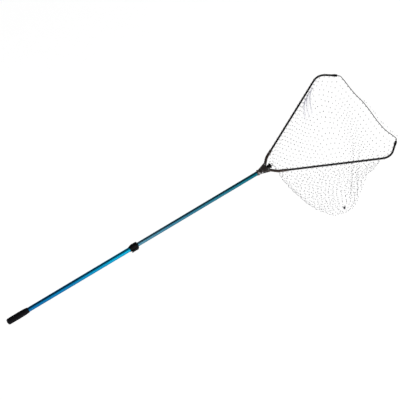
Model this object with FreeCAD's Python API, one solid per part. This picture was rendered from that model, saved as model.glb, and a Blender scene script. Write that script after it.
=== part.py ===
import FreeCAD, Part
import math
import os

# Folding landing net with a two-section telescopic handle, in millimetres.
# The handle's axis is X, the net's mouth lies in the XY plane and the bag hangs towards -Z.
# The origin is the middle of the hand's hold on the grip.
# Pieces of the head are drawn from the apex, where the lines of the two arms cross the handle's axis,
# and pieces of the clamp from the clamp's middle; save() moves them to their place.

Vec = FreeCAD.Vector
AXIS_X = Vec(1, 0, 0)
AXIS_Y = Vec(0, 1, 0)
AXIS_Z = Vec(0, 0, 1)

# Handle
apex_x = 1450.0
clamp_x = 690.0
butt_x = -62.0
lower_r = 12.4
lower_bore = 11.5
upper_r = 11.1
upper_bore = 10.1
upper_length = 850.0
running_gap = 0.05

# Grip
grip_r = 16.6
grip_front_r = 14.3
grip_straight_end = 30.0
grip_front_x = 60.0
cap_length = 12.0
cap_plug_length = 14.0

# Clamp at the joint of the two tubes
collar_r = 18.6
collar_rear = -25.0
collar_front = 23.0
bush_length = 12.0
bush_r = 14.4
ear_reach = 21.8
cam_x = 12.0
cam_y = -17.9
lever_face = -19.1
screw_y = 15.6
cam_r = 4.0
lever_tip_x = -21.0

# Head hinge, where the net folds up and back over the handle
hinge_x = 8.0
hinge_z = 12.5
knuckle_r = 5.0
hinge_pin_r = 2.0
lug_half = 4.7
ear_in = 5.0
ear_out = 8.0

# Yoke: a fan-shaped plate above and one below, with the arm pivots between them
plate_in = 6.8
plate_out = 9.3
heel_x = 14.0
web = 3.0
rear_half = 9.5
pivot_x = 64.0
pivot_y = 17.0
lobe_r = 9.5
pivot_r = 3.0
post_x = 32.0
post_y = 10.0

# Rivet through the tube and the socket
rivet_x = -20.0
rivet_r = 1.5

# Latch under the yoke
latch_x = 6.0
latch_z = -13.8
tooth_from = 24.5
tooth_to = 28.5

# Arms
arm_angle = 27.5
arm_length = 700.0
tip_turn = 66.4
tip_length = 104.5
arm_r = 5.4
arm_wall = 1.0
arm_bend = 65.0
elbow_r = 6.5
elbow_wide_r = 7.6
elbow_bend = 70.0
elbow_reach = 47.0
socket_depth = 24.0
hub_r = 8.0
hub_half = 6.0
tail_r = 4.0
tail_reach = 18.5
slot_ahead = 1.9
slot_beyond = 3.3
tip_cap_r = 6.6
tip_cap_length = 26.0

# Spreader that pushes both arms open
slider_rear = 34.0
slider_half = 6.3
neck_x = 74.0
nose_x = 81.0
nose_front = 89.0
slider_pin_r = 1.6
ring_r = 5.5
ring_wire_r = 1.5

# Net
cord_r = 2.2
bag_wall = 2.0

os.makedirs("parts", exist_ok=True)


def save(shape, name, origin_x=0.0):
    placed = shape.copy()
    placed.translate(Vec(origin_x, 0, 0))
    placed.exportStep("parts/" + name + ".step")


def box(x, y, z):
    """A box from three (low, high) pairs."""
    return Part.makeBox(x[1] - x[0], y[1] - y[0], z[1] - z[0], Vec(x[0], y[0], z[0]))


def rod_x(radius, start, end, y=0.0, z=0.0):
    return Part.makeCylinder(radius, end - start, Vec(start, y, z), AXIS_X)


def rod_y(radius, start, end, x, z):
    return Part.makeCylinder(radius, end - start, Vec(x, start, z), AXIS_Y)


def rod_z(radius, start, end, x, y):
    return Part.makeCylinder(radius, end - start, Vec(x, y, start), AXIS_Z)


def fuse(first, *others):
    return first.multiFuse(list(others)).removeSplitter()


def mirrored(shape):
    return shape.mirror(Vec(0, 0, 0), AXIS_Y)


def turned(profile):
    """A solid of revolution about X from (x, radius) points."""
    points = [Vec(x, r, 0) for x, r in profile]
    face = Part.Face(Part.makePolygon(points + [points[0]]))
    return face.revolve(Vec(0, 0, 0), AXIS_X, 360)


def heading(degrees):
    a = math.radians(degrees)
    return Vec(math.cos(a), math.sin(a), 0)


def rounded_path(points, radii):
    """Straight runs joined by tangent arcs, one radius for each inner point."""
    edges = []
    start = points[0]
    for before, corner, after, radius in zip(points, points[1:], points[2:], radii):
        back = (before - corner).normalize()
        ahead = (after - corner).normalize()
        half_turn = (math.pi - back.getAngle(ahead)) / 2
        reach = radius * math.tan(half_turn)
        arc_start = corner + back * reach
        arc_end = corner + ahead * reach
        to_centre = (back + ahead).normalize()
        middle = corner + to_centre * (radius / math.cos(half_turn) - radius)
        edges.append(Part.LineSegment(start, arc_start).toShape())
        edges.append(Part.Arc(arc_start, middle, arc_end).toShape())
        start = arc_end
    edges.append(Part.LineSegment(start, points[-1]).toShape())
    return Part.Wire(edges)


def round_bar(path, radius):
    """A round solid along a path that starts in a straight run."""
    first = path.Edges[0]
    start = first.Vertexes[0].Point
    along = first.Vertexes[1].Point - start
    section = Part.Wire([Part.makeCircle(radius, start, along)])
    return path.makePipeShell([section], True, False)


def oval_bar(path, radius_flat, radius_high):
    """A bar with an oval section, for a path in the XY plane."""
    first = path.Edges[0]
    start = first.Vertexes[0].Point
    along = (first.Vertexes[1].Point - start).normalize()
    flat = along.cross(AXIS_Z)
    oval = Part.Ellipse(start + flat * radius_flat, start + AXIS_Z * radius_high, start)
    section = Part.Wire([oval.toShape()])
    return path.makePipeShell([section], True, False)


# ---------------------------------------------------------------- handle


def make_lower_tube():
    start = butt_x + cap_length / 2
    end = clamp_x + collar_front - 2 - bush_length
    tube = rod_x(lower_r, start, end)
    return tube.cut(rod_x(lower_bore, start - 1, end + 1))


def make_grip():
    rear = butt_x + cap_length
    sleeve = turned(
        [
            (rear, lower_r),
            (rear, grip_r),
            (grip_straight_end, grip_r),
            (grip_front_x - 2, grip_front_r),
            (grip_front_x, grip_front_r - 1.5),
            (grip_front_x, lower_r),
        ]
    )
    return sleeve


def make_butt_cap():
    """A rounded rubber end that covers the tube's end and plugs its bore."""
    front = butt_x + cap_length
    dome = turned(
        [
            (butt_x, 0),
            (butt_x, grip_r - 7.5),
            (butt_x + 1.6, grip_r - 3.6),
            (butt_x + 5, grip_r - 1.2),
            (butt_x + 9, grip_r - 0.3),
            (front, grip_r - 0.3),
            (front, lower_r),
            (butt_x + cap_length / 2, lower_r),
            (butt_x + cap_length / 2, lower_bore),
            (front + cap_plug_length, lower_bore),
            (front + cap_plug_length, 0),
        ]
    )
    return dome


def make_upper_tube():
    start = apex_x - upper_length
    tube = rod_x(upper_r, start, apex_x)
    tube = tube.cut(rod_x(upper_bore, start - 1, apex_x + 1))
    return tube.cut(rod_y(rivet_r, -14, 14, apex_x + rivet_x, 0))


def make_guide_plug():
    """A plastic plug in the rear end of the upper tube, whose flange runs in the lower tube."""
    rear = apex_x - upper_length
    flange = rod_x(lower_bore - running_gap, rear - 6, rear)
    plug = rod_x(upper_bore, rear - 1, rear + 25)
    bore = rod_x(5.0, rear - 7, rear + 26)
    return fuse(flange, plug).cut(bore)


# ---------------------------------------------------------------- clamp


def make_clamp_collar():
    bush_rear = collar_front - 2 - bush_length
    body = turned(
        [
            (collar_rear, lower_r),
            (collar_rear, lower_r + 1.4),
            (-8, collar_r),
            (collar_front - 1.5, collar_r),
            (collar_front, collar_r - 1.5),
            (collar_front, upper_r + 0.6),
            (collar_front - 2, upper_r + 0.6),
            (collar_front - 2, bush_r),
            (bush_rear, bush_r),
            (bush_rear, lower_r),
        ]
    )
    ears = box((5, 18), (-ear_reach, -8), (-8.5, 8.5))
    ring_room = rod_x(bush_r, 0, collar_front - 1)
    pocket = box((4.5, collar_front), (-30, cam_y + cam_r + 0.2), (-5.3, 5.3))
    slit = box((collar_rear - 1, bush_rear - 2), (0, collar_r + 1), (-0.6, 0.6))
    pin_hole = rod_z(1.5, -10, 10, cam_x, cam_y)
    screw_hole = rod_z(1.2, -12, 12, -2, screw_y)
    head_hole = rod_z(2.3, 6.6, 14, -2, screw_y)
    body = fuse(body, ears.cut(ring_room))
    for tool in (pocket, slit, pin_hole, screw_hole, head_hole):
        body = body.cut(tool)
    return max(body.Solids, key=lambda solid: solid.Volume)


def make_front_bush():
    rear = collar_front - 2 - bush_length
    ring = rod_x(bush_r, rear, collar_front - 2)
    ring = ring.cut(rod_x(upper_r + running_gap, rear - 1, collar_front))
    return ring.cut(box((rear - 1, collar_front), (-30, cam_y + cam_r + 0.2), (-5.3, 5.3)))


def make_clamp_lever():
    """A cam lever that lies along the side of the collar and swings out about its front pin."""
    cam = rod_z(cam_r, -5, 5, cam_x, cam_y)
    neck = box((2, cam_x), (cam_y - cam_r, lever_face), (-5, 5))
    blade = box((lever_tip_x, 3), (cam_y - cam_r, lever_face), (-7, 7))
    finger_rest = box((lever_tip_x, lever_tip_x + 5), (cam_y - cam_r - 1, lever_face), (-7, 7))
    lever = fuse(cam, neck, blade, finger_rest)
    return lever.cut(rod_z(1.5 + running_gap, -10, 10, cam_x, cam_y))


def make_lever_pin():
    return rod_z(1.5, -8.5, 8.5, cam_x, cam_y)


def make_clamp_screw():
    shank = rod_z(1.2, -8.0, 7, -2, screw_y)
    head = rod_z(2.3, 6.6, 8.6, -2, screw_y)
    return fuse(shank, head)


# ---------------------------------------------------------------- head hinge and latch


def make_head_socket():
    """The bright metal end of the handle: a plug in the tube, a hinge lug on top and a latch lug below."""
    plug = rod_x(upper_bore, -45, 3)
    collar = rod_x(upper_r + 0.5, 0, 2.5)
    block = box((2, heel_x - 0.3), (-8, 8), (-9.5, 4.5))
    lug = box((3, 13), (-lug_half, lug_half), (0, hinge_z))
    knuckle = rod_y(knuckle_r, -lug_half, lug_half, hinge_x, hinge_z)
    latch_lug = box((latch_x - 3, latch_x + 3), (-2.5, 2.5), (latch_z, -8))
    latch_eye = rod_y(3.4, -2.5, 2.5, latch_x, latch_z)
    body = fuse(plug, collar, block, lug, knuckle, latch_lug, latch_eye)
    body = body.cut(rod_y(hinge_pin_r + running_gap, -9, 9, hinge_x, hinge_z))
    body = body.cut(rod_y(1.5, -9, 9, latch_x, latch_z))
    return body.cut(rod_y(rivet_r, -14, 14, rivet_x, 0))


def make_socket_rivet():
    """A rivet through the tube and the socket's plug, with heads that follow the tube."""
    shank = rod_y(rivet_r, -upper_r, upper_r, rivet_x, 0)
    heads = rod_y(rivet_r + 1.1, -upper_r - 0.9, upper_r + 0.9, rivet_x, 0)
    heads = heads.cut(rod_x(upper_r, rivet_x - 10, rivet_x + 10))
    return shank.fuse(heads).removeSplitter()


def make_hinge_pin():
    shank = rod_y(hinge_pin_r, -ear_out, ear_out, hinge_x, hinge_z)
    heads = [rod_y(3.2, y, y + 1.2, hinge_x, hinge_z) for y in (-ear_out - 1.2, ear_out)]
    return fuse(shank, *heads)


def make_latch():
    """A sprung lever: its tooth stands in the lower plate's window and holds the net open."""
    forks = []
    for side in (-1, 1):
        low, high = sorted((side * 2.8, side * 6.5))
        eye = rod_y(3.2, low, high, latch_x, latch_z)
        arm = box((latch_x, 13), (low, high), (latch_z - 2.8, latch_z - 0.2))
        forks.append(fuse(eye, arm))
    blade = box((11.5, 46), (-7.5, 7.5), (latch_z - 2.8, latch_z - 0.2))
    tooth = box((tooth_from, tooth_to), (-4, 4), (latch_z - 1, -7.6))
    tab = box((43.5, 46), (-7.5, 7.5), (latch_z - 6, latch_z - 1))
    latch = fuse(blade, tooth, tab, *forks)
    return latch.cut(rod_y(1.5 + running_gap, -9, 9, latch_x, latch_z))


def make_latch_pin():
    return rod_y(1.5, -7.3, 7.3, latch_x, latch_z)


# ---------------------------------------------------------------- yoke


def fan_outline(rear_x):
    """The plate's outline: a narrow rear end and a round lobe about each arm pivot."""
    run = Vec(pivot_x - heel_x, pivot_y - rear_half, 0)
    lean = math.atan2(run.y, run.x) + math.asin(lobe_r / run.Length)
    side = Vec(-math.sin(lean), math.cos(lean), 0) * lobe_r
    shoulder = Vec(pivot_x, pivot_y, 0) + side
    points = [
        Vec(rear_x, rear_half, 0),
        Vec(heel_x, rear_half, 0),
        shoulder,
        Vec(pivot_x, pivot_y, 0),
        Vec(pivot_x, -pivot_y, 0),
        Vec(shoulder.x, -shoulder.y, 0),
        Vec(heel_x, -rear_half, 0),
        Vec(rear_x, -rear_half, 0),
    ]
    return Part.Face(Part.makePolygon(points + [points[0]]))


def fan_plate(rear_x, low, high):
    plate = fan_outline(rear_x).extrude(Vec(0, 0, high - low))
    plate.translate(Vec(0, 0, low))
    lobes = [rod_z(lobe_r, low, high, pivot_x, y) for y in (-pivot_y, pivot_y)]
    plate = fuse(plate, *lobes)
    for side in (-1, 1):
        plate = plate.cut(rod_z(pivot_r, -20, 20, pivot_x, side * pivot_y))
        plate = plate.cut(rod_z(1.5, -20, 20, post_x, side * post_y))
    return plate.cut(rod_z(8.0, -20, 20, pivot_x + 4, 0))


def make_yoke_cover():
    plate = fan_plate(hinge_x, plate_in, plate_out)
    plate = plate.cut(box((0, heel_x - 0.2), (-ear_in, ear_in), (0, 20)))
    plate = plate.cut(box((0, heel_x - 0.2), (ear_out, 20), (0, 20)))
    plate = plate.cut(box((0, heel_x - 0.2), (-20, -ear_out), (0, 20)))
    ears = []
    for low in (-ear_out, ear_in):
        ears.append(rod_y(knuckle_r, low, low + ear_out - ear_in, hinge_x, hinge_z))
    cover = fuse(plate, *ears)
    return cover.cut(rod_y(hinge_pin_r, -9, 9, hinge_x, hinge_z))


def make_yoke_base():
    """The lower plate, its heel against the socket and two posts that carry the cover."""
    plate = fan_plate(heel_x, -plate_out, -plate_in)
    heel = box((heel_x, heel_x + web), (-8.5, 8.5), (-plate_in - 0.5, plate_in))
    posts = [rod_z(2.7, -plate_in - 0.5, plate_in, post_x, y) for y in (-post_y, post_y)]
    window = box((tooth_from - 0.8, tooth_to + 1.8), (-4.6, 4.6), (-20, 0))
    base = fuse(plate, heel, *posts).cut(window)
    for side in (-1, 1):
        base = base.cut(rod_z(1.5, -20, 20, post_x, side * post_y))
    return base


def make_yoke_rivet(side):
    y = side * post_y
    heads = [rod_z(2.8, z, z + 1.0, post_x, y) for z in (-plate_out - 1.0, plate_out)]
    return fuse(rod_z(1.5, -plate_out, plate_out, post_x, y), *heads)


def make_pivot_rivet(side):
    y = side * pivot_y
    heads = [rod_z(5.2, z, z + 1.2, pivot_x, y) for z in (-plate_out - 1.2, plate_out)]
    return fuse(rod_z(pivot_r, -plate_out, plate_out, pivot_x, y), *heads)


# ---------------------------------------------------------------- spreader


def make_slider():
    """A black block between the arms: its pin pushes the tails of both elbows forward."""
    stem = box((slider_rear, neck_x), (-4.5, 4.5), (-slider_half, slider_half))
    neck = box((neck_x - 4, nose_x), (-8.2, 8.2), (-slider_half, slider_half))
    nose = box((nose_x, nose_front), (-13, 13), (-9, 9))
    chamfered = nose.makeChamfer(2.5, nose.Edges)
    tail_room = box((50, neck_x - 2), (-10, 10), (-3.5, 3.5))
    body = fuse(stem, neck, chamfered).cut(tail_room)
    return body.cut(rod_z(slider_pin_r, -10, 10, pivot_x, 0))


def make_slider_pin():
    return rod_z(slider_pin_r, -slider_half, slider_half, pivot_x, 0)


def make_pull_ring():
    """A finger ring on a short stub in the block's nose."""
    ring = Part.makeTorus(ring_r, ring_wire_r, Vec(nose_front + ring_r + 2.2, 0, 0), AXIS_Z)
    stub = rod_x(ring_wire_r, nose_front, nose_front + 2.2)
    return fuse(ring, stub)


def make_slider_spring():
    """A coil spring between the yoke's heel and the slider's stem."""
    start = heel_x + web + 0.6
    coil = Part.makeHelix(3.0, 15.0, 3.7)
    section = Part.Wire([Part.makeCircle(0.5, Vec(3.7, 0, 0), AXIS_Y)])
    wire = Part.Wire(coil).makePipeShell([section], True, True)
    wire.rotate(Vec(0, 0, 0), AXIS_Y, 90)
    wire.translate(Vec(start, 0, 0))
    return wire


# ---------------------------------------------------------------- arms (the left one, on the +Y side)

arm_line = heading(arm_angle)
tip_line = heading(arm_angle - tip_turn)
pivot = Vec(pivot_x, pivot_y, 0)
arm_corner = arm_line * arm_length
arm_tip = arm_corner + tip_line * tip_length
rise = math.tan(math.radians(arm_angle))
elbow_corner_x = (pivot_x - pivot_y) / (1 - rise)
elbow_corner = Vec(elbow_corner_x, elbow_corner_x * rise, 0)
elbow_end = elbow_corner + arm_line * elbow_reach
arm_start = elbow_end - arm_line * socket_depth


def make_elbow():
    """A cast elbow: hub on the pivot, a tail to the slider's pin and a socket for the arm."""
    bar = oval_bar(rounded_path([pivot, elbow_corner, elbow_end], [elbow_bend]), elbow_wide_r, elbow_r)
    hub = rod_z(hub_r, -hub_half, hub_half, pivot.x, pivot.y)
    tail = box((pivot.x - tail_r, pivot.x + tail_r), (pivot.y - tail_reach, pivot.y), (0.3, 3.1))
    tail_end = rod_z(tail_r, 0.3, 3.1, pivot.x, pivot.y - tail_reach)
    slot_half = slider_pin_r + 0.35
    slot = box((pivot.x - slot_half, pivot.x + slot_half), (-slot_beyond, slot_ahead), (-1, 4))
    socket = Part.makeCylinder(arm_r, socket_depth + 1, arm_start, arm_line)
    elbow = fuse(bar, hub, tail, tail_end)
    elbow = elbow.cut(rod_z(pivot_r + running_gap, -10, 10, pivot.x, pivot.y))
    elbow = elbow.cut(slot)
    elbow = elbow.cut(socket)
    rivet_at = elbow_end - arm_line * (socket_depth / 2)
    return elbow.cut(rod_z(1.3, -10, 10, rivet_at.x, rivet_at.y))


def make_arm():
    path = rounded_path([arm_start, arm_corner, arm_tip - tip_line * 2], [arm_bend])
    arm = round_bar(path, arm_r).cut(round_bar(path, arm_r - arm_wall))
    rivet_at = elbow_end - arm_line * (socket_depth / 2)
    return arm.cut(rod_z(1.3, -10, 10, rivet_at.x, rivet_at.y))


def make_arm_rivet():
    at = elbow_end - arm_line * (socket_depth / 2)
    return rod_z(1.3, -elbow_r - 0.4, elbow_r + 0.4, at.x, at.y)


def make_tip_cap():
    start = arm_tip - tip_line * tip_cap_length
    cap = Part.makeCylinder(tip_cap_r, tip_cap_length, start, tip_line)
    end_face = min(cap.Edges, key=lambda edge: (edge.CenterOfMass - arm_tip).Length)
    cap = cap.makeFillet(3.0, [end_face])
    return cap.cut(Part.makeCylinder(arm_r, tip_cap_length - 2, start, tip_line))


# ---------------------------------------------------------------- cord and bag

# The front cord runs from tip to tip, pulled nearly straight by the net.
cord_exit = 12.0
cord_points = [
    arm_tip,
    arm_tip + tip_line * cord_exit,
    Vec(714.9, 237.5, 0),
    Vec(706, 110, -2),
    Vec(715, 34, -3),
    Vec(694, -149, -2),
    Vec(714.9, -237.5, 0),
    mirrored(Part.Vertex(arm_tip + tip_line * cord_exit)).Point,
    mirrored(Part.Vertex(arm_tip)).Point,
]


def cord_radii(points):
    radii = []
    for before, corner, after in zip(points, points[1:], points[2:]):
        runs = ((corner - before).Length, (after - corner).Length)
        turn = (corner - before).getAngle(after - corner)
        radii.append(0.45 * min(runs) / math.tan(turn / 2))
    return radii


def make_front_cord():
    radii = cord_radii(cord_points)
    path = rounded_path(cord_points, radii)
    tube = round_bar(path, cord_r)
    print("front cord: length", round(path.Length, 1), "radii", [round(r) for r in radii])
    print("front cord: volume over section x length", tube.Volume / (math.pi * cord_r**2 * path.Length))
    return tube


# Levels of the bag: height, sideways lean, then (x, half width) at its rear, its side corners and its front.
# The bag hangs a little towards the right arm.
bag_levels = [
    (-12.0, 0.0, (98, 34), (612, 296), (698, 240)),
    (-200.0, 0.0, (168, 54), (606, 236), (655, 180)),
    (-400.0, -12.0, (248, 54), (560, 140), (634, 118)),
    (-600.0, -22.0, (340, 42), (560, 96), (622, 72)),
    (-790.0, -33.0, (458, 34), (548, 56), (604, 46)),
]
tie_x = 551.0


def level_points(level, inset, z):
    """The six corners of the bag's plan at one level, drawn in by the inset."""
    lean, rear, side, front = level[1:]
    half = [
        (rear[0] + inset, rear[1] - inset / 2),
        (side[0], side[1] - inset * 1.3),
        (front[0] - inset, front[1] - inset),
    ]
    left = [Vec(x, y + lean, z) for x, y in half]
    right = [Vec(x, lean - y, z) for x, y in reversed(half)]
    return left + right


def bag_solid(inset, top_z):
    """The bag's outer form, or its inner one when inset, as ruled lofts from level to level."""
    heights = [top_z] + [level[0] for level in bag_levels[1:-1]] + [bag_levels[-1][0] + inset]
    rings = []
    for level, z in zip(bag_levels, heights):
        points = level_points(level, inset, z)
        rings.append(Part.makePolygon(points + [points[0]]))
    return Part.makeLoft(rings, True, True)


def make_net_bag():
    outer = bag_solid(0.0, bag_levels[0][0])
    inner = bag_solid(bag_wall, bag_levels[0][0] + 1.0)
    return outer.cut(inner)


def make_bag_tie():
    """The ferrule that gathers the netting at the bottom of the bag."""
    z, lean = bag_levels[-1][:2]
    return rod_z(5.0, z - 12.0, z, tie_x, lean)


# ---------------------------------------------------------------- write every piece

save(make_lower_tube(), "lower_tube")
save(make_grip(), "grip")
save(make_butt_cap(), "butt_cap")
save(make_clamp_collar(), "clamp_collar", clamp_x)
save(make_front_bush(), "front_bush", clamp_x)
save(make_lever_pin(), "lever_pin", clamp_x)
save(make_clamp_screw(), "clamp_screw", clamp_x)
save(make_clamp_lever(), "clamp_lever", clamp_x)
save(make_upper_tube(), "upper_tube")
save(make_guide_plug(), "guide_plug")
save(make_head_socket(), "head_socket", apex_x)
save(make_socket_rivet(), "socket_rivet", apex_x)
save(make_latch(), "latch", apex_x)
save(make_latch_pin(), "latch_pin", apex_x)
save(make_hinge_pin(), "hinge_pin", apex_x)
save(make_yoke_cover(), "yoke_cover", apex_x)
save(make_yoke_base(), "yoke_base", apex_x)
save(make_slider(), "slider", apex_x)
save(make_slider_pin(), "slider_pin", apex_x)
save(make_pull_ring(), "pull_ring", apex_x)
save(make_slider_spring(), "slider_spring", apex_x)
save(make_front_cord(), "front_cord", apex_x)
save(make_net_bag(), "net_bag", apex_x)
save(make_bag_tie(), "bag_tie", apex_x)

for side_name, side_sign in (("left", 1), ("right", -1)):
    save(make_yoke_rivet(side_sign), "yoke_rivet_" + side_name, apex_x)
    save(make_pivot_rivet(side_sign), "pivot_rivet_" + side_name, apex_x)

# The right arm is the left one mirrored; its tail then passes under the left one's at the slider's pin.
for piece_name, piece in (("arm", make_arm()), ("arm_rivet", make_arm_rivet()), ("tip_cap", make_tip_cap())):
    save(piece, piece_name + "_left", apex_x)
    save(mirrored(piece), piece_name + "_right", apex_x)

elbow_left = make_elbow()
save(elbow_left, "elbow_left", apex_x)
save(mirrored(elbow_left).mirror(Vec(0, 0, 0), AXIS_Z), "elbow_right", apex_x)
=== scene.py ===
import math

import bmesh
import bpy
import numpy as np
from mathutils import Matrix, Vector


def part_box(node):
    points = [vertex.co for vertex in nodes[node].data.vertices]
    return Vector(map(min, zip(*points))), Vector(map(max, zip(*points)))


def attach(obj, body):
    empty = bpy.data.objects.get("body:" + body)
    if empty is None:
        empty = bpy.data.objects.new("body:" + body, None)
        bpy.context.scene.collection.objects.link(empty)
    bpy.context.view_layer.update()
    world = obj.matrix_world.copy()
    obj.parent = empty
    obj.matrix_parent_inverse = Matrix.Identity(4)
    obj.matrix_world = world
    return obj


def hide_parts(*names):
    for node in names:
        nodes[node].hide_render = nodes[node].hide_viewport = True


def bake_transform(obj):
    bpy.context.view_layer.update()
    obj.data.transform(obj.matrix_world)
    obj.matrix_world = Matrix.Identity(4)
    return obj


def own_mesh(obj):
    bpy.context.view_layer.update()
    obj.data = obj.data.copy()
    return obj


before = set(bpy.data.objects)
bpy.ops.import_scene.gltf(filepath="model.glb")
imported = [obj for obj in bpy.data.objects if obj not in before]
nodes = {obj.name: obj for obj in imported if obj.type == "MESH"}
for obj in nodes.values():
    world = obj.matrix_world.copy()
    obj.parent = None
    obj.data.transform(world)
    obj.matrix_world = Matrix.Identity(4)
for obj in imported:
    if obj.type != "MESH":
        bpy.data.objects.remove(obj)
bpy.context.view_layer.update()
rng = np.random.default_rng(7)

# The apex is where the lines of the two arms cross the handle's axis. Net and head are drawn from it.
APEX = Vector((1.45, 0.0, 0.0))
ARM_ANGLE = math.radians(27.5)
TIP_TURN = math.radians(66.4)
ARM_LENGTH = 0.700
TIP_LENGTH = 0.1045
ARM_BEND = 0.065
ELBOW_BEND = 0.070
PIVOT = Vector((0.064, 0.017, 0.0))


# ---------------------------------------------------------------- camera

camera_data = bpy.data.cameras.new("camera")
camera = bpy.data.objects.new("camera", camera_data)
bpy.context.scene.collection.objects.link(camera)
right = Vector((0.825365, -0.5633472, -0.03758388))
up = Vector((0.49195498, 0.68490985, 0.53747446))
back = Vector((-0.27704317, -0.46210218, 0.84244208))
turn = Matrix((right, up, back)).transposed().to_4x4()
camera.matrix_world = Matrix.Translation((-2.18154, -5.47425, 10.04727)) @ turn
camera_data.sensor_width = 36.0
camera_data.lens = 209.7
camera_data.clip_end = 100.0
bpy.context.scene.camera = camera


# ---------------------------------------------------------------- making meshes


def new_object(name, verts, faces, smooth=True):
    mesh = bpy.data.meshes.new(name)
    mesh.from_pydata([tuple(v) for v in verts], [], faces)
    mesh.validate()
    mesh.polygons.foreach_set("use_smooth", [smooth] * len(mesh.polygons))
    obj = bpy.data.objects.new(name, mesh)
    bpy.context.scene.collection.objects.link(obj)
    return obj


class Builder:
    """Collects many small shapes into one mesh."""

    def __init__(self):
        self.verts = []
        self.faces = []
        self.count = 0

    def add(self, verts, faces):
        self.verts.append(np.asarray(verts, float).reshape(-1, 3))
        self.faces.extend([tuple(i + self.count for i in f) for f in faces])
        self.count += len(self.verts[-1])

    def tube(self, points, radius, sides=6, closed=False, caps=True):
        """A round tube along points; radius is a number or one for each point."""
        p = np.asarray(points, float)
        n = len(p)
        r = np.full(n, radius) if np.isscalar(radius) else np.asarray(radius, float)
        if closed:
            tangent = np.roll(p, -1, 0) - np.roll(p, 1, 0)
        else:
            tangent = np.gradient(p, axis=0)
        tangent /= np.linalg.norm(tangent, axis=1)[:, None] + 1e-12
        side = np.cross(tangent[0], (0.31, 0.22, 0.92))
        if np.linalg.norm(side) < 1e-3:
            side = np.cross(tangent[0], (1.0, 0.0, 0.0))
        rings = []
        for i in range(n):
            side = side - tangent[i] * side.dot(tangent[i])
            side /= np.linalg.norm(side)
            other = np.cross(tangent[i], side)
            a = np.arange(sides) * 2 * math.pi / sides
            rings.append(p[i] + r[i] * (np.outer(np.cos(a), side) + np.outer(np.sin(a), other)))
        faces = []
        for i in range(n if closed else n - 1):
            j = (i + 1) % n
            for k in range(sides):
                m = (k + 1) % sides
                faces.append((i * sides + k, i * sides + m, j * sides + m, j * sides + k))
        if caps and not closed:
            faces.append(tuple(reversed(range(sides))))
            faces.append(tuple((n - 1) * sides + k for k in range(sides)))
        self.add(np.concatenate(rings), faces)

    def build(self, name):
        return new_object(name, np.concatenate(self.verts), self.faces)


def lathe(name, profile, steps, twist):
    """A solid of revolution about X from a closed loop of (x, radius) points.

    twist(x, radius, turn) gives the radius at each turn about the axis.
    """
    verts = []
    faces = []
    n = len(profile)
    for k in range(steps):
        a = 2 * math.pi * k / steps
        for x, r in profile:
            rr = twist(x, r, a)
            verts.append((x, rr * math.cos(a), rr * math.sin(a)))
    for k in range(steps):
        m = (k + 1) % steps
        for i in range(n):
            j = (i + 1) % n
            faces.append((k * n + i, k * n + j, m * n + j, m * n + i))
    return new_object(name, verts, faces)


# ---------------------------------------------------------------- front cord

# The route's points, as in the part: from the left tip to the right one.
cord_route = [
    (2.15224, 0.25760, 0.0),
    (2.16158, 0.25006, 0.0),
    (2.1649, 0.2375, 0.0),
    (2.156, 0.110, -0.002),
    (2.165, 0.034, -0.003),
    (2.144, -0.149, -0.002),
    (2.1649, -0.2375, 0.0),
    (2.16158, -0.25006, 0.0),
    (2.15224, -0.25760, 0.0),
]


def spline_points(route, resolution=24):
    """Points read from the route's NURBS spline."""
    curve = bpy.data.curves.new("route", "CURVE")
    curve.dimensions = "3D"
    spline = curve.splines.new("NURBS")
    spline.points.add(len(route) - 1)
    for point, place in zip(spline.points, route):
        point.co = (*place, 1.0)
    spline.order_u = 3
    spline.use_endpoint_u = True
    spline.resolution_u = resolution
    holder = bpy.data.objects.new("route", curve)
    bpy.context.scene.collection.objects.link(holder)
    bpy.context.view_layer.update()
    mesh = bpy.data.meshes.new_from_object(holder)
    points = np.array([tuple(v.co) for v in mesh.vertices])
    bpy.data.objects.remove(holder)
    return points


def along(points, step=None, count=None):
    """The same line with evenly spaced points."""
    p = np.asarray(points, float)
    s = np.concatenate([[0.0], np.cumsum(np.linalg.norm(np.diff(p, axis=0), axis=1))])
    count = count or max(2, int(round(s[-1] / step)) + 1)
    at = np.linspace(0, s[-1], count)
    return np.stack([np.interp(at, s, p[:, k]) for k in range(3)], axis=1)


CORE_R = 0.0016
CORD_STRAND_R = 0.00112
CORD_STRAND_OUT = 0.0011
CORD_LAY = 0.011
cord_line = along(spline_points(cord_route), step=0.002)
middle = int(np.argmin(np.abs(cord_line[:, 1])))
cord_halves = {}
for side, line in (("left", cord_line[: middle + 1]), ("right", cord_line[middle:][::-1])):
    # A laid cord: a core and three strands wound around it, which make its ridges.
    builder = Builder()
    builder.tube(line, CORE_R, sides=8)
    distance = np.concatenate([[0.0], np.cumsum(np.linalg.norm(np.diff(line, axis=0), axis=1))])
    tangent = np.gradient(line, axis=0)
    tangent /= np.linalg.norm(tangent, axis=1)[:, None]
    flat = np.cross(tangent, (0.0, 0.0, 1.0))
    flat /= np.linalg.norm(flat, axis=1)[:, None]
    high = np.cross(flat, tangent)
    for strand in range(3):
        a = 2 * math.pi * (distance / CORD_LAY + strand / 3)
        path = line + CORD_STRAND_OUT * (np.cos(a)[:, None] * flat + np.sin(a)[:, None] * high)
        builder.tube(path, CORD_STRAND_R, sides=7)
    half = builder.build("front_cord_" + side)
    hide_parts("front_cord")
    cord_halves[side] = (half, line)


# ---------------------------------------------------------------- net bag

KNOT_ROWS = 27
MESH_WIDTH_TOP = 0.0262
MESH_WIDTH_BOTTOM = 0.0215
STRAND_R = 0.00022
KNOT_R = (0.0018, 0.0024)
KNOT_SLIP = 0.07
KNOT_SHIFT = (0.0012, 0.0012, 0.002)


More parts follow.
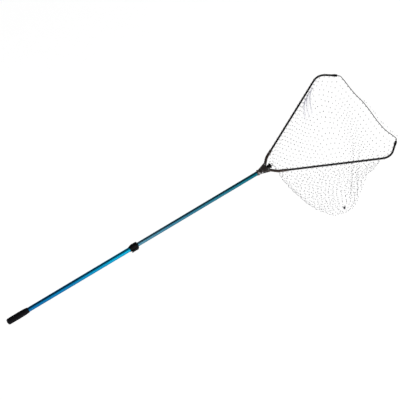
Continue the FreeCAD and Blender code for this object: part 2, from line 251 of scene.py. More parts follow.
def rounded(points, radii, arc_steps=14):
    """A polyline with tangent arcs at its inner points."""
    pts = [Vector(p) for p in points]
    out = [pts[0]]
    for before, corner, after, radius in zip(pts, pts[1:], pts[2:], radii):
        a = (before - corner).normalized()
        b = (after - corner).normalized()
        half = (math.pi - a.angle(b)) / 2
        reach = radius * math.tan(half)
        centre = corner + (a + b).normalized() * (radius / math.cos(half))
        start = corner + a * reach
        end = corner + b * reach
        for i in range(arc_steps + 1):
            v = (start - centre).normalized().slerp((end - centre).normalized(), i / arc_steps)
            out.append(centre + v.normalized() * radius)
    out.append(pts[-1])
    return np.array([tuple(p) for p in out])


def mirror_y(points):
    return np.asarray(points) * (1, -1, 1)


rise = math.tan(ARM_ANGLE)
elbow_x = (PIVOT.x - PIVOT.y) / (1 - rise)
elbow_corner = Vector((elbow_x, elbow_x * rise, 0))
arm_corner = Vector((ARM_LENGTH * math.cos(ARM_ANGLE), ARM_LENGTH * math.sin(ARM_ANGLE), 0))
tip_heading = ARM_ANGLE - TIP_TURN
arm_tip = arm_corner + TIP_LENGTH * Vector((math.cos(tip_heading), math.sin(tip_heading), 0))
arm_line = rounded([PIVOT, elbow_corner, arm_corner, arm_tip], [ELBOW_BEND, ARM_BEND])

# The mouth's edge: across by the spreader, along the left arm, along the cord and back.
MOUTH_REAR_X = 0.101
CORD_ENDS_SKIPPED = 4
KEEP_OFF = {"rear": 0.0, "cord": 0.004, "left": 0.0105, "right": 0.0105}
lacing = along(arm_line, step=0.004)
lacing = lacing[lacing[:, 0] > MOUTH_REAR_X]
rear_half = along([(MOUTH_REAR_X, 0, -0.012), (0.1005, 0.024, -0.009), lacing[0]], count=12)
front = cord_line - np.array(APEX)
left_half = np.concatenate([rear_half[:-1], lacing])
front_part = front[CORD_ENDS_SKIPPED:-CORD_ENDS_SKIPPED]
edge = np.concatenate([left_half[:-1], front_part, mirror_y(left_half)[::-1][:-1]])
edge_kind = (
    ["rear"] * (len(rear_half) - 1) + ["left"] * (len(lacing) - 1)
    + ["cord"] * len(front_part) + ["right"] * len(lacing) + ["rear"] * (len(rear_half) - 2)
)
tangent = np.roll(edge, -1, 0) - np.roll(edge, 1, 0)
inward = np.cross(tangent, (0, 0, 1.0))
inward /= np.linalg.norm(inward, axis=1)[:, None]
keep_off = np.array([KEEP_OFF[k] for k in edge_kind])
mouth = edge + inward * keep_off[:, None] + np.array([(0, 0, -0.003)])

# Plans of the bag at growing depth, in mm from the apex, from the rear centre round by the left side.
# The front right has a deep fold that hangs straight down.
bag_plans = [
    [(128, 0, -76), (140, 54, -78), (365, 178, -92), (606, 298, -92), (662, 195, -80),
     (656, 60, -76), (650, 0, -84), (640, -50, -90), (622, -126, -86), (620, -262, -72),
     (365, -168, -90), (138, -54, -80)],
    [(166, 0, -200), (176, 56, -200), (376, 148, -210), (590, 236, -215), (640, 140, -205),
     (640, 40, -200), (626, -24, -205), (616, -62, -205), (602, -96, -205), (626, -214, -200),
     (376, -140, -205), (172, -56, -210)],
    [(252, -8, -400), (258, 44, -400), (406, 92, -400), (552, 128, -405), (618, 82, -400),
     (622, 10, -400), (596, -40, -400), (606, -82, -400), (578, -88, -395), (622, -136, -392),
     (410, -114, -400), (254, -70, -400)],
    [(346, -20, -600), (354, 20, -600), (450, 46, -604), (556, 66, -606), (606, 48, -604),
     (612, 0, -604), (584, -54, -604), (606, -86, -600), (576, -88, -600), (602, -98, -600),
     (456, -90, -600), (350, -60, -594)],
    [(446, -30, -730), (452, 2, -734), (504, 14, -738), (548, 26, -742), (584, 12, -740),
     (598, -16, -736), (582, -46, -734), (600, -66, -730), (576, -72, -730), (586, -84, -730),
     (510, -82, -734), (450, -60, -728)],
    [(500, -33, -778), (503, -14, -780), (522, 0, -784), (546, 4, -784), (568, -6, -783),
     (580, -28, -782), (572, -42, -782), (576, -52, -782), (568, -57, -782), (560, -62, -782),
     (528, -66, -784), (506, -54, -780)],
]
TIE = np.array([0.551, -0.033, -0.787])
RING = 480
PLAN_POINTS = 2000
GATHERED = 0.14


def hermite(points, at, closed):
    """A smooth curve through points, read at fractions of its control length."""
    p = np.asarray(points, float)
    if closed:
        p = np.concatenate([p[-2:], p, p[:3]])
    knots = np.concatenate([[0], np.cumsum(np.linalg.norm(np.diff(p, axis=0), axis=1) ** 0.7)])
    slope = np.gradient(p, knots, axis=0)
    lo, hi = (knots[2], knots[-3]) if closed else (knots[0], knots[-1])
    u = lo + np.asarray(at) * (hi - lo)
    i = np.clip(np.searchsorted(knots, u, side="right") - 1, 0, len(p) - 2)
    h = knots[i + 1] - knots[i]
    s = ((u - knots[i]) / h)[:, None]
    h = h[:, None]
    return (
        (2 * s**3 - 3 * s**2 + 1) * p[i] + (s**3 - 2 * s**2 + s) * h * slope[i]
        + (3 * s**2 - 2 * s**3) * p[i + 1] + (s**3 - s**2) * h * slope[i + 1]
    )


def even_ring(points, front_index):
    """A closed curve as RING points, even along each half, with the front centre at half way."""
    p = np.concatenate([points, points[:1]])
    halves = []
    for part in (p[: front_index + 1], p[front_index:]):
        halves.append(along(part, count=RING // 2 + 1)[:-1])
    return np.concatenate(halves)


front_centre = int(np.argmin(np.abs(mouth[:, 1]) + (mouth[:, 0] < 0.4)))
rings = [even_ring(mouth, front_centre)]
for plan in bag_plans:
    curve = hermite(np.array(plan) / 1000, np.arange(PLAN_POINTS) / PLAN_POINTS, True)
    rings.append(even_ring(curve, PLAN_POINTS // 2))
rings.append(TIE + (rings[-1] - TIE) * (GATHERED, GATHERED, 0))
levels = np.array(rings)

# Each column runs down through the plans and across the bag's bottom to the tie.
columns = np.zeros((RING, KNOT_ROWS + 1, 3))
for k in range(RING):
    dense = hermite(levels[:, k], np.linspace(0, 1, 160), False)
    columns[k] = along(dense, count=KNOT_ROWS + 1)

# Folds: the netting has more width than the narrow part of the bag needs.
f = (np.arange(RING) / RING)[:, None]
t = (np.arange(KNOT_ROWS + 1) / KNOT_ROWS)[None, :]
gap = np.roll(columns, -3, 0) - np.roll(columns, 3, 0)
outward = np.cross(np.gradient(columns, axis=1), gap)
outward /= np.linalg.norm(outward, axis=2)[:, :, None] + 1e-9
depth = np.clip(t * 1.6, 0, 1) * np.clip((1 - t) * 6, 0, 1)
wave = np.zeros((RING, KNOT_ROWS + 1))
for number, size in ((4, 0.0040), (7, 0.0022), (11, 0.0008)):
    phase = rng.uniform(0, 2 * math.pi)
    drift = rng.uniform(-1.5, 1.5)
    wave += size * np.sin(2 * math.pi * number * f + phase + drift * t * 3)

# Tight folds beside the left arm's corner, which fade out downwards.
CORNER_AT = 0.30
CORNER_SPAN = 0.045
CORNER_FOLDS = 52
CORNER_FOLD_DEPTH = 0.011
corner = np.exp(-(((f - CORNER_AT) / CORNER_SPAN) ** 2))
corner = corner * np.clip(t * 7, 0, 1) * np.exp(-((t / 0.45) ** 2))
wave = wave * depth + corner * CORNER_FOLD_DEPTH * np.sin(2 * math.pi * CORNER_FOLDS * f + 6 * t)
columns = columns + outward * wave[:, :, None]


def on_row(row, fraction):
    at = (fraction % 1.0) * RING
    i = np.floor(at).astype(int)
    part = (at - i)[:, None]
    return columns[i % RING, row] * (1 - part) + columns[(i + 1) % RING, row] * part


knot_rows = []
fractions = []
number = None
for row in range(KNOT_ROWS + 1):
    ring = columns[:, row]
    around = np.linalg.norm(np.roll(ring, -1, 0) - ring, axis=1).sum()
    share = row / KNOT_ROWS
    width = MESH_WIDTH_TOP * (1 - share) + MESH_WIDTH_BOTTOM * share
    wanted = max(10, int(round(around / width)))
    number = wanted if number is None else min(number, max(wanted, int(number * 0.72)))
    at = (np.arange(number) + 0.5 * (row % 2)) / number
    if row > 0:
        at = at + rng.normal(0, KNOT_SLIP / number, number)
    place = on_row(row, at)
    if row > 0:
        place = place + rng.normal(0, 1, place.shape) * KNOT_SHIFT
    knot_rows.append(place + np.array(APEX))
    fractions.append(at)

bars = []
for row in range(1, KNOT_ROWS + 1):
    upper = np.sort(fractions[row - 1] % 1.0)
    order = np.argsort(fractions[row - 1] % 1.0)
    for j, at in enumerate(fractions[row] % 1.0):
        k = int(np.searchsorted(upper, at))
        bars.append((row, j, int(order[(k - 1) % len(upper)])))
        bars.append((row, j, int(order[k % len(upper)])))

strands = Builder()
for row, j, above in bars:
    a = knot_rows[row][j]
    b = knot_rows[row - 1][above]
    sag = rng.normal(0, 0.0007, 3) - (0, 0, 0.0005)
    strands.tube([a, (a + b) / 2 + sag, b], STRAND_R, sides=5, caps=False)

# The tie gathers the last row.
for place in knot_rows[-1]:
    strands.tube([place, APEX + Vector(TIE) + Vector((0, 0, -0.004))], STRAND_R, sides=5, caps=False)

# The mouth's half meshes stand out past the cord in loops, longer towards the right.
MOUTH_HALF = 0.26
first = knot_rows[0]
outer_knots = []
kinds = []
for place in first:
    near = int(np.argmin(np.linalg.norm(edge[:, :2] - (place - np.array(APEX))[:2], axis=1)))
    kinds.append((edge_kind[near], near))
for j in range(len(first)):
    k = (j + 1) % len(first)
    (kind_a, at_a), (kind_b, at_b) = kinds[j], kinds[k]
    if kind_a == kind_b == "cord":
        a, b = first[j], first[k]
        out = -inward[(at_a + at_b) // 2]
        towards_right = 1 - (first[j][1] + MOUTH_HALF) / (2 * MOUTH_HALF)
        reach = (0.008 + 0.019 * towards_right) * rng.uniform(0.7, 1.3)
        angles = np.linspace(0, math.pi, 9)
        base = (a + b) / 2
        half = (b - a) / 2
        lift = rng.uniform(-0.004, 0.002)
        loop = [
            base - half * math.cos(w) * (1 + 0.25 * math.sin(w)) + out * reach * math.sin(w) ** 0.8
            + np.array((0, 0, lift * math.sin(w)))
            for w in angles
        ]
        strands.tube(loop, STRAND_R * 3, sides=5, caps=False)
        if towards_right > 0.35:
            outer_knots.append(loop[3 + j % 3])
    elif "rear" in (kind_a, kind_b):
        strands.tube([first[j], first[k]], STRAND_R * 1.3, sides=5, caps=False)

net = strands.build("net_mesh")
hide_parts("net_bag")

knots = Builder()
ball = bmesh.new()
bmesh.ops.create_icosphere(ball, subdivisions=2, radius=1.0)
ball_verts = np.array([tuple(v.co) for v in ball.verts])
ball_faces = [tuple(v.index for v in face.verts) for face in ball.faces]
ball.free()
for row, places in enumerate(knot_rows + [outer_knots]):
    for j, place in enumerate(places):
        up_at = knot_rows[max(row - 1, 0)]
        lengthwise = place - up_at[int(np.argmin(np.linalg.norm(up_at - place, axis=1)))]
        long = np.linalg.norm(lengthwise)
        axis = Vector(lengthwise / long) if long > 1e-6 else Vector((0, 0, 1))
        spin = Vector((0, 0, 1)).rotation_difference(axis).to_matrix()
        size = rng.uniform(*KNOT_R)
        lump = ball_verts * (1.0, 0.8, 1.25) * (1 + 0.16 * np.sin(5 * ball_verts[:, [1]] + j))
        knots.add(lump @ np.array(spin.transposed()) * size + place, ball_faces)
net_knots = knots.build("net_knots")
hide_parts("net_bag")

# Loops of netting around the arms, wider where the rear of an arm has its elbow.
LACING_R = 0.00055
REAR_ARM_X = 1.60
REAR_LOOP_R = 0.0068
LOOP_R = 0.0056
lacings = {"left": Builder(), "right": Builder()}
for j, place in enumerate(first):
    kind, near = kinds[j]
    if kind not in lacings:
        continue
    centre = edge[near] + np.array(APEX)
    ahead = tangent[near] / np.linalg.norm(tangent[near])
    across = -inward[near]
    slack = rng.uniform(0.0012, 0.0055)
    lean = rng.normal(0, 0.25)
    radius = REAR_LOOP_R if centre[0] < REAR_ARM_X else LOOP_R
    loop = []
    for w in np.linspace(0, 2 * math.pi, 20, endpoint=False):
        reach = radius + (slack if math.cos(w) > 0 else 0.0045) * abs(math.cos(w)) ** 1.5
        loop.append(
            centre + across * math.cos(w) * reach + np.array((0, 0, math.sin(w) * radius))
            + ahead * (0.004 * lean * math.cos(w) + 0.0012 * math.sin(2 * w))
        )
    lacings[kind].tube(loop, LACING_R, sides=5, closed=True)
lacing_pieces = {side: b.build("lacing_" + side) for side, b in lacings.items()}

# Beside the left arm's corner the netting bunches in soft layered folds.
BUNCH_FROM = 0.245
BUNCH_TO = 0.302
BUNCH_STRANDS = 110
BUNCH_R = 0.0004
bunch = Builder()
for _ in range(BUNCH_STRANDS):
    at = rng.uniform(BUNCH_FROM, BUNCH_TO)
    last_row = int(rng.integers(4, 8))
    path = []
    for row in range(1, last_row):
        place = on_row(row, np.array([at + 0.003 * math.sin(row * 0.6)]))[0]
        path.append(place + np.array(APEX) + rng.normal(0, 0.0007, 3))
    bunch.tube(path, BUNCH_R, sides=5, caps=False)
bunched = bunch.build("bunched_net")


# ---------------------------------------------------------------- finishes


class Finish:
    """A node material in the object's own metres."""

    def __init__(self, name, **constants):
        self.material = bpy.data.materials.new(name)
        self.material.use_nodes = True
        self.tree = self.material.node_tree
        self.shader = self.tree.nodes["Principled BSDF"]
        for socket, value in constants.items():
            self.shader.inputs[socket.replace("_", " ")].default_value = value
        self.place = self.add("ShaderNodeTexCoord").outputs["Object"]

    def add(self, kind, inputs=None, **settings):
        node = self.tree.nodes.new(kind)
        for key, value in settings.items():
            setattr(node, key, value)
        for key, value in (inputs or {}).items():
            if isinstance(value, bpy.types.NodeSocket):
                self.tree.links.new(value, node.inputs[key])
            else:
                node.inputs[key].default_value = value
        return node

    def noise(self, scale, stretch=(1, 1, 1), detail=4.0):
        mapped = self.add("ShaderNodeMapping", {"Vector": self.place, "Scale": stretch})
        inputs = {"Vector": mapped.outputs[0], "Scale": scale, "Detail": detail}
        return self.add("ShaderNodeTexNoise", inputs).outputs["Fac"]

    def cells(self, scale, stretch=(1, 1, 1)):
        mapped = self.add("ShaderNodeMapping", {"Vector": self.place, "Scale": stretch})
        inputs = {"Vector": mapped.outputs[0], "Scale": scale}
        return self.add("ShaderNodeTexVoronoi", inputs).outputs["Distance"]

    def between(self, fac, low, high, start=0.3, end=0.7):
        inputs = {"Value": fac, "From Min": start, "From Max": end, "To Min": low, "To Max": high}
        return self.add("ShaderNodeMapRange", inputs).outputs["Result"]

    def ramp(self, fac, *stops):
        node = self.add("ShaderNodeValToRGB", {"Fac": fac})
        elements = node.color_ramp.elements
        while len(elements) < len(stops):
            elements.new(0.5)
        for element, (at, colour) in zip(elements, stops):
            element.position = at
            element.color = (*colour, 1)
        return node.outputs["Color"]

    def blend(self, fac, first, second, mode):
        inputs = {"Factor": fac, 6: first, 7: second}
        return self.add("ShaderNodeMix", inputs, data_type="RGBA", blend_type=mode).outputs[2]

    def feed(self, socket, value):
        self.tree.links.new(value, self.shader.inputs[socket])

    def bump(self, height, distance, strength=1.0):
        inputs = {"Height": height, "Distance": distance, "Strength": strength}
        self.feed("Normal", self.add("ShaderNodeBump", inputs).outputs["Normal"])


def anodised(name, stops, rough):
    """Anodised aluminium: a colour ramp along the tube from the stops, which on the upper tube
    carries a painted highlight, fine drawing lines along the tube and faint cloudy variation.
    """
    f = Finish(name, Metallic=0.9)
    along_x = f.add("ShaderNodeSeparateXYZ", {"Vector": f.place}).outputs["X"]
    # Colour ramp along X from the stops; on the upper tube its pale end at the lock is a painted
    # highlight.
    lengthwise = f.between(along_x, 0.0, 1.0, stops[0][0], stops[-1][0])
    span = stops[-1][0] - stops[0][0]
    colour = f.ramp(lengthwise, *[((x - stops[0][0]) / span, c) for x, c in stops])
    lines = f.noise(900.0, (0.012, 1, 1), 3.0)
    clouds = f.noise(38.0, (0.4, 1, 1), 5.0)
    shade = f.ramp(lines, (0.3, (0.72, 0.78, 0.82)), (0.7, (1.0, 1.0, 1.0)))
    colour = f.blend(0.8, colour, shade, "MULTIPLY")
    patches = f.ramp(clouds, (0.35, (0.8, 0.86, 0.9)), (0.65, (1.0, 1.0, 1.0)))
    f.feed("Base Color", f.blend(0.6, colour, patches, "MULTIPLY"))
    f.feed("Roughness", f.between(f.noise(120.0, (0.1, 1, 1)), rough - 0.06, rough + 0.08))
    f.bump(lines, 0.00003, 0.5)
    return f.material


def moulded(name, dark, light, rough, grain=2600.0, depth=0.00005, specular=0.3):
    """Moulded plastic or rubber: an even grain, faint dull patches and a little dust."""
    f = Finish(name, **{"Specular_IOR_Level": specular})
    patches = f.noise(45.0, detail=6.0)
    specks = f.cells(700.0)
    colour = f.ramp(patches, (0.35, dark), (0.68, light))
    dust = f.ramp(specks, (0.0, tuple(v * 1.9 for v in light)), (0.12, (0, 0, 0)))
    f.feed("Base Color", f.blend(0.5, colour, dust, "ADD"))
    f.feed("Roughness", f.between(f.noise(160.0), rough - 0.08, rough + 0.1))
    f.bump(f.noise(grain, detail=2.0), depth, 0.8)
    return f.material


def metal(name, dark, light, rough, grain=420.0, stretch=(1, 1, 1), depth=0.00006, metallic=0.95):
    """Cast, brushed or turned metal, with dull patches and small bright nicks."""
    f = Finish(name, Metallic=metallic)
    colour = f.ramp(f.noise(60.0, detail=6.0), (0.32, dark), (0.7, light))
    nicks = f.ramp(f.cells(520.0), (0.0, (0.5, 0.5, 0.5)), (0.06, (0, 0, 0)))
    f.feed("Base Color", f.blend(0.35, colour, nicks, "ADD"))
    f.feed("Roughness", f.between(f.noise(grain * 0.4, stretch), rough - 0.1, rough + 0.12))
    f.bump(f.noise(grain, stretch, 3.0), depth, 0.8)
    return f.material


# Colour along the handle, each stop is (x, colour): the lower tube is darker towards the grip and
# lighter towards the lock; on the upper tube the pale grey-blue at the lock is a painted highlight,
# which fades to darker blue towards the head.
lower_blue = anodised(
    "lower_blue",
    [(-0.05, (0.0, 0.11, 0.3)), (0.3, (0.0, 0.17, 0.37)), (0.68, (0.0, 0.36, 0.56))],
    rough=0.22,
)
# Its first stop, pale grey-blue at the lock, is a painted highlight that fades towards the head.
upper_blue = anodised(
    "upper_blue",
    [(0.6, (0.12, 0.28, 0.36)), (0.9, (0.04, 0.18, 0.27)), (1.45, (0.0, 0.14, 0.19))],
    rough=0.2,
)
rubber = moulded(
    "grip_rubber", (0.003, 0.003, 0.0045), (0.006, 0.006, 0.009), 0.75, depth=0.00012, specular=0.12
)
clamp_plastic = moulded(
    "clamp_plastic", (0.0012, 0.0012, 0.0016), (0.003, 0.003, 0.0036), 0.5, specular=0.12
)
slider_plastic = moulded(
    "slider_plastic", (0.001, 0.001, 0.001), (0.003, 0.003, 0.003), 0.5, specular=0.12
)
arm_paint = moulded(
    "arm_paint", (0.003, 0.003, 0.003), (0.007, 0.0065, 0.006), 0.4,
    grain=900.0, depth=0.00004, specular=0.15,
)
gunmetal = metal("gunmetal", (0.06, 0.05, 0.047), (0.12, 0.1, 0.094), 0.5, metallic=0.5)
elbow_metal = metal("elbow_metal", (0.05, 0.036, 0.03), (0.1, 0.075, 0.063), 0.45, metallic=0.5)
bright = metal("bright_alloy", (0.72, 0.72, 0.73), (0.92, 0.92, 0.93), 0.34, 700.0, (0.08, 1, 1))
steel = metal("steel", (0.3, 0.3, 0.31), (0.55, 0.55, 0.56), 0.26, 900.0, (1, 1, 0.1))
latch_black = moulded("latch_black", (0.001, 0.001, 0.001), (0.004, 0.004, 0.004), 0.5, specular=0.15)


def fibre(name, tint, dark, light, rough, gloss=600.0, grain=2500.0, detail=4.0,
          depth=0.0001, strength=0.6, dark_at=0.3, **constants):
    """Cord, strand or knot: patches of two shades, an uneven gloss and a fine grain.

    tint, gloss and grain are the scales of the three noises.
    """
    f = Finish(name, **constants)
    f.feed("Base Color", f.ramp(f.noise(tint), (dark_at, dark), (0.7, light)))
    f.feed("Roughness", f.between(f.noise(gloss), *rough))
    f.bump(f.noise(grain, detail=detail), depth, strength)
    return f.material


cord_cloth = fibre(
    "cord_cloth", 900.0, (0.002, 0.0016, 0.0018), (0.008, 0.007, 0.008), (0.7, 0.9),
    gloss=500.0, grain=3000.0, detail=2.0, depth=0.0002, strength=0.8, dark_at=0.35,
    Specular_IOR_Level=0.08,
)
strand_line = fibre(
    "net_strand", 120.0, (0.12, 0.115, 0.14), (0.24, 0.23, 0.26), (0.25, 0.45), Alpha=0.14
)
lacing_line = fibre(
    "lacing_line", 150.0, (0.42, 0.41, 0.45), (0.7, 0.69, 0.72), (0.25, 0.45), Alpha=0.9
)
bunch_line = fibre(
    "bunch_line", 90.0, (0.36, 0.34, 0.56), (0.52, 0.5, 0.7), (0.3, 0.5), Alpha=0.1
)
knot_grey = fibre(
    "net_knot", 70.0, (0.035, 0.03, 0.04), (0.11, 0.1, 0.125), (0.35, 0.55),
    gloss=700.0, grain=1600.0, detail=2.0, depth=0.0005, strength=0.9,
)

finishes = {
    "lower_tube": lower_blue, "upper_tube": upper_blue, "grip": rubber, "butt_cap": rubber,
    "clamp_collar": clamp_plastic, "clamp_lever": clamp_plastic, "front_bush": slider_plastic,
    "guide_plug": slider_plastic, "slider": slider_plastic, "latch": latch_black,
    "yoke_cover": gunmetal, "pull_ring": gunmetal, "head_socket": gunmetal, "yoke_base": bright,
    "elbow_left": elbow_metal, "elbow_right": elbow_metal,
    "arm_left": arm_paint, "arm_right": arm_paint,
    "tip_cap_left": slider_plastic, "tip_cap_right": slider_plastic, "bag_tie": slider_plastic,
    "lever_pin": steel, "clamp_screw": steel, "socket_rivet": steel,
    "latch_pin": steel, "hinge_pin": steel,
    "slider_pin": steel, "slider_spring": steel,
    "yoke_rivet_left": steel, "yoke_rivet_right": steel,
    "pivot_rivet_left": steel, "pivot_rivet_right": steel,
    "arm_rivet_left": steel, "arm_rivet_right": steel,
}


def dress(obj, material):
    obj.data.materials.clear()
    obj.data.materials.append(material)


dress(net, strand_line)
dress(bunched, bunch_line)
for o in lacing_pieces.values():
    dress(o, lacing_line)
dress(net_knots, knot_grey)
for o in (net, net_knots, bunched):
    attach(o, "head")
    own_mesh(o)
for side, o in lacing_pieces.items():
    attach(o, "arm_" + side)
for side, (half, line) in cord_halves.items():
    dress(half, cord_cloth)
    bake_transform(half)


# ---------------------------------------------------------------- finer pieces over the plain solids


SHARP_EDGE = math.radians(30.0)
SAME_PLANE = math.radians(1.5)


def with_soft_edges(node, width):
    """A copy of a CAD node with rounded edges and cleaned flat faces, shown in its place."""
    obj = nodes[node].copy()
    obj.data = obj.data.copy()
    obj.name = "fine_" + node
    obj.parent = None
    obj.matrix_world = nodes[node].matrix_world.copy()
    for key in list(obj.keys()):
        if key.startswith("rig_") or key == "node":
            del obj[key]
    bpy.context.scene.collection.objects.link(obj)
    mesh = bmesh.new()
    mesh.from_mesh(obj.data)
    bmesh.ops.remove_doubles(mesh, verts=mesh.verts, dist=1e-6)
    bmesh.ops.dissolve_limit(mesh, angle_limit=SAME_PLANE, verts=mesh.verts, edges=mesh.edges)
    mesh.to_mesh(obj.data)
    mesh.free()
    for face in obj.data.polygons:
        face.use_smooth = True
    bevel = obj.modifiers.new("soft_edges", "BEVEL")
    bevel.width = width
    bevel.segments = 2
    bevel.limit_method = "ANGLE"
    bevel.angle_limit = SHARP_EDGE
    bevel.harden_normals = True
    bevel.use_clamp_overlap = True
    return obj


def fine_piece(obj, body, material, slot, *stands_for):
    dress(obj, material)
    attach(obj, body)
    if stands_for:
        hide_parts(*stands_for)


# Each row is (node, body, finish, slot, width of the rounded edge).
softened = [
    ("clamp_collar", "lower_handle", clamp_plastic, "black_plastic", 0.0009),
    ("clamp_lever", "clamp_lever", clamp_plastic, "black_plastic", 0.0007),
    ("slider", "slider", slider_plastic, "black_plastic", 0.0007),
    ("latch", "latch", latch_black, "black_plastic", 0.0004),
    ("yoke_cover", "head", gunmetal, "gunmetal", 0.0006),
    ("yoke_base", "head", bright, "bright_alloy", 0.0005),
    ("head_socket", "upper_handle", gunmetal, "bright_alloy", 0.0005),
    ("butt_cap", "lower_handle", rubber, "grip_rubber", 0.0008),
    ("tip_cap_left", "arm_left", slider_plastic, "black_plastic", 0.0008),
    ("tip_cap_right", "arm_right", slider_plastic, "black_plastic", 0.0008),
    ("elbow_left", "arm_left", elbow_metal, "gunmetal", 0.0006),
    ("elbow_right", "arm_right", elbow_metal, "gunmetal", 0.0006),
]
for node, body, material, slot_name, width in softened:
    fine_piece(with_soft_edges(node, width), body, material, slot_name, node)

# Domed rivet heads on both yoke plates.
PLATE_OUT = 0.0093
PIVOT_HEAD = 0.0012
YOKE_HEAD = 0.0010
YOKE_RIVET = (0.032, 0.010)


def dome(shape, centre, radius, height, side, steps=32, rings=6):
    """Adds a low dome that faces up where side is 1 and down where it is -1."""
    verts = [(centre[0], centre[1], centre[2] + side * height)]
    faces = []
    for i in range(1, rings + 1):
        a = math.pi / 2 * i / rings
        for k in range(steps):
            w = 2 * math.pi * k / steps * side
            out = radius * math.sin(a)
            verts.append((
                centre[0] + out * math.cos(w), centre[1] + out * math.sin(w),
                centre[2] + side * height * math.cos(a),
            ))
    for k in range(steps):
        m = (k + 1) % steps
        faces.append((0, 1 + k, 1 + m))
        for i in range(rings - 1):
            inner = 1 + i * steps
            outer = inner + steps
            faces.append((inner + k, outer + k, outer + m, inner + m))
    faces.append(tuple(1 + (rings - 1) * steps + k for k in reversed(range(steps))))
    shape.add(verts, faces)


heads = Builder()
for side in (1, -1):
    for across in (1, -1):
        pivot_top = (APEX.x + PIVOT.x, across * PIVOT.y, side * (PLATE_OUT + PIVOT_HEAD))
        dome(heads, pivot_top, 0.0046, 0.0011, side)
        yoke_top = (APEX.x + YOKE_RIVET[0], across * YOKE_RIVET[1], side * (PLATE_OUT + YOKE_HEAD))
        dome(heads, yoke_top, 0.0025, 0.0007, side)
fine_piece(heads.build("rivet_heads"), "head", steel, "steel")

# Ribs under the fingertip on the clamp lever.
RIB_PLACES = (0.6775, 0.6802, 0.6829)
RIB_R = 0.00055
LEVER_OUTER_Y = -0.0219
ribs = Builder()
for rib_x in RIB_PLACES:
    ribs.tube([(rib_x, LEVER_OUTER_Y, z) for z in np.linspace(-0.0058, 0.0058, 5)], RIB_R, sides=10)
fine_piece(ribs.build("lever_ribs"), "clamp_lever", clamp_plastic, "black_plastic")

# The spreader's spring, one fixed coil on the head; in the real net it shortens as the slider is
# pulled back.
SPRING_START = 1.4676
SPRING_LENGTH = 0.0150
SPRING_R = 0.0037
SPRING_WIRE_R = 0.0005
SPRING_TURNS = 5
spring = Builder()
spring_path = []
for f in np.linspace(0, 1, 150):
    turn_angle = 2 * SPRING_TURNS * math.pi * f
    x = SPRING_START + SPRING_WIRE_R + (SPRING_LENGTH - 2 * SPRING_WIRE_R) * f
    spring_path.append((x, SPRING_R * math.cos(turn_angle), SPRING_R * math.sin(turn_angle)))
spring.tube(spring_path, SPRING_WIRE_R, sides=8)
coil = spring.build("spring_coil")
fine_piece(coil, "head", steel, "steel", "slider_spring")
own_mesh(coil)

# Turns of thread round the bag's tie.
THREAD_TURNS = 9
THREAD_R = 0.0006
THREAD_OFF = 0.0004
low, high = (np.array(c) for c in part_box("bag_tie"))
tie_middle = (low + high) / 2
tie_half = (high - low) / 2
thread_path = []
for f in np.linspace(0, 1, 160):
    turn_angle = THREAD_TURNS * math.tau * f
    thread_path.append((
        tie_middle[0] + (tie_half[0] + THREAD_OFF) * math.cos(turn_angle),
        tie_middle[1] + (tie_half[1] + THREAD_OFF) * math.sin(turn_angle),
        tie_middle[2] + tie_half[2] * (0.7 - 1.4 * f),
    ))
thread = Builder()
thread.tube(thread_path, THREAD_R, sides=6)
wrap = thread.build("tie_thread")
fine_piece(wrap, "head", knot_grey, "netting")

# The grip: a moulded sleeve with shallow lengthwise flutes and two ring grooves.
GRIP_REAR = -0.050
GRIP_STRAIGHT = 0.030
GRIP_FRONT = 0.060
GRIP_R = 0.0166
GRIP_FRONT_R = 0.0143
GRIP_BORE = 0.01245
FLUTES = 36
FLUTE_DEPTH = 0.00035


def grip_radius(x, radius, turn_angle):
    """The sleeve's radius with its flutes, which are on the outside and fade out at both ends."""
    inside = radius <= GRIP_BORE
    start = min(1.0, max(0.0, (x - GRIP_REAR - 0.004) / 0.003))
    stop = min(1.0, max(0.0, (GRIP_STRAIGHT + 0.008 - x) / 0.004))
    depth = 0.0 if inside else FLUTE_DEPTH * start * stop
    return radius - depth * (0.5 - 0.5 * math.cos(FLUTES * turn_angle)) ** 3


def groove(centre, half=0.0012, depth=0.0008):
    return [
        (centre - half, GRIP_R),
        (centre - half * 0.6, GRIP_R - depth),
        (centre + half * 0.6, GRIP_R - depth),
        (centre + half, GRIP_R),
    ]


straight = [(x, GRIP_R) for x in np.linspace(GRIP_REAR + 0.007, GRIP_STRAIGHT - 0.008, 24)]
taper = []
for t in np.linspace(0.05, 0.95, 12):
    eased = (1 - math.cos(math.pi * t)) / 2
    x = GRIP_STRAIGHT + (GRIP_FRONT - GRIP_STRAIGHT) * t
    taper.append((x, GRIP_R + (GRIP_FRONT_R - GRIP_R) * eased))
sleeve_profile = (
    [(GRIP_REAR, GRIP_BORE), (GRIP_REAR, GRIP_R - 0.0004), (GRIP_REAR + 0.0005, GRIP_R)]
    + groove(GRIP_REAR + 0.004) + straight + groove(GRIP_STRAIGHT - 0.004) + taper
    + [(GRIP_FRONT - 0.0006, GRIP_FRONT_R), (GRIP_FRONT, GRIP_FRONT_R - 0.0006)]
    + [(GRIP_FRONT, GRIP_BORE)]
)
sleeve = lathe("grip_sleeve", sleeve_profile, steps=FLUTES * 8, twist=grip_radius)
fine_piece(sleeve, "lower_handle", rubber, "grip_rubber", "grip")


# ---------------------------------------------------------------- finish of the CAD nodes

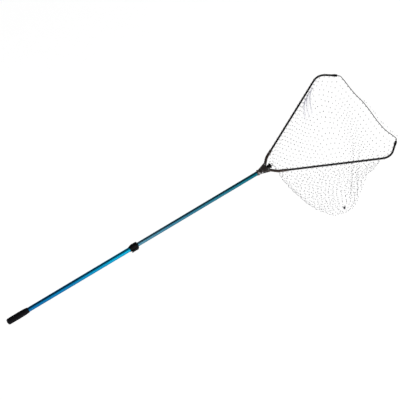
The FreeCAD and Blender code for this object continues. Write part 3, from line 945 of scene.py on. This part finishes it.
for name, material in finishes.items():
    obj = nodes[name]
    if not obj.material_slots:
        obj.data.materials.append(material)
    for material_slot in obj.material_slots:
        material_slot.material = material


# ---------------------------------------------------------------- floor and light

FLOOR_Z = -0.86
FLOOR_HALF = 40
floor_corners = [
    (x * FLOOR_HALF, y * FLOOR_HALF, FLOOR_Z) for x, y in ((-1, -1), (1, -1), (1, 1), (-1, 1))
]
floor = new_object("floor", floor_corners, [(0, 1, 2, 3)], False)
floor_finish = Finish("floor", Emission_Strength=0.71)
floor_finish.shader.inputs["Emission Color"].default_value = (1, 1, 1, 1)
floor_shades = floor_finish.ramp(
    floor_finish.noise(3.0), (0.3, (0.88, 0.88, 0.88)), (0.7, (0.9, 0.9, 0.9))
)
floor_finish.feed("Base Color", floor_shades)
dress(floor, floor_finish.material)

world = bpy.data.worlds.new("world")
bpy.context.scene.world = world
world.use_nodes = True
sky = world.node_tree
direction = sky.nodes.new("ShaderNodeTexCoord").outputs["Generated"]
split = sky.nodes.new("ShaderNodeSeparateXYZ")
sky.links.new(direction, split.inputs[0])
horizon = sky.nodes.new("ShaderNodeValToRGB")
sky.links.new(split.outputs["Z"], horizon.inputs["Fac"])
horizon.color_ramp.elements[0].color = (0.8, 0.8, 0.8, 1)
horizon.color_ramp.elements[1].position = 0.3
horizon.color_ramp.elements[1].color = (0.09, 0.09, 0.09, 1)
sky.links.new(horizon.outputs["Color"], sky.nodes["Background"].inputs["Color"])
bpy.context.scene.view_settings.view_transform = "Standard"


def area_light(name, place, aim, size, power):
    data = bpy.data.lights.new(name, "AREA")
    data.shape = "RECTANGLE"
    data.size, data.size_y = size
    data.energy = power
    obj = bpy.data.objects.new(name, data)
    bpy.context.scene.collection.objects.link(obj)
    obj.location = place
    obj.rotation_euler = (Vector(aim) - Vector(place)).to_track_quat("-Z", "Y").to_euler()
    obj.visible_camera = False


area_light("low_box", (0.9, -12.7, 6.0), (0.9, 0, 0), (16.0, 8.0), 900)
area_light("high_box", (0.9, -5.0, 13.2), (0.9, 0, 0), (16.0, 6.0), 330)

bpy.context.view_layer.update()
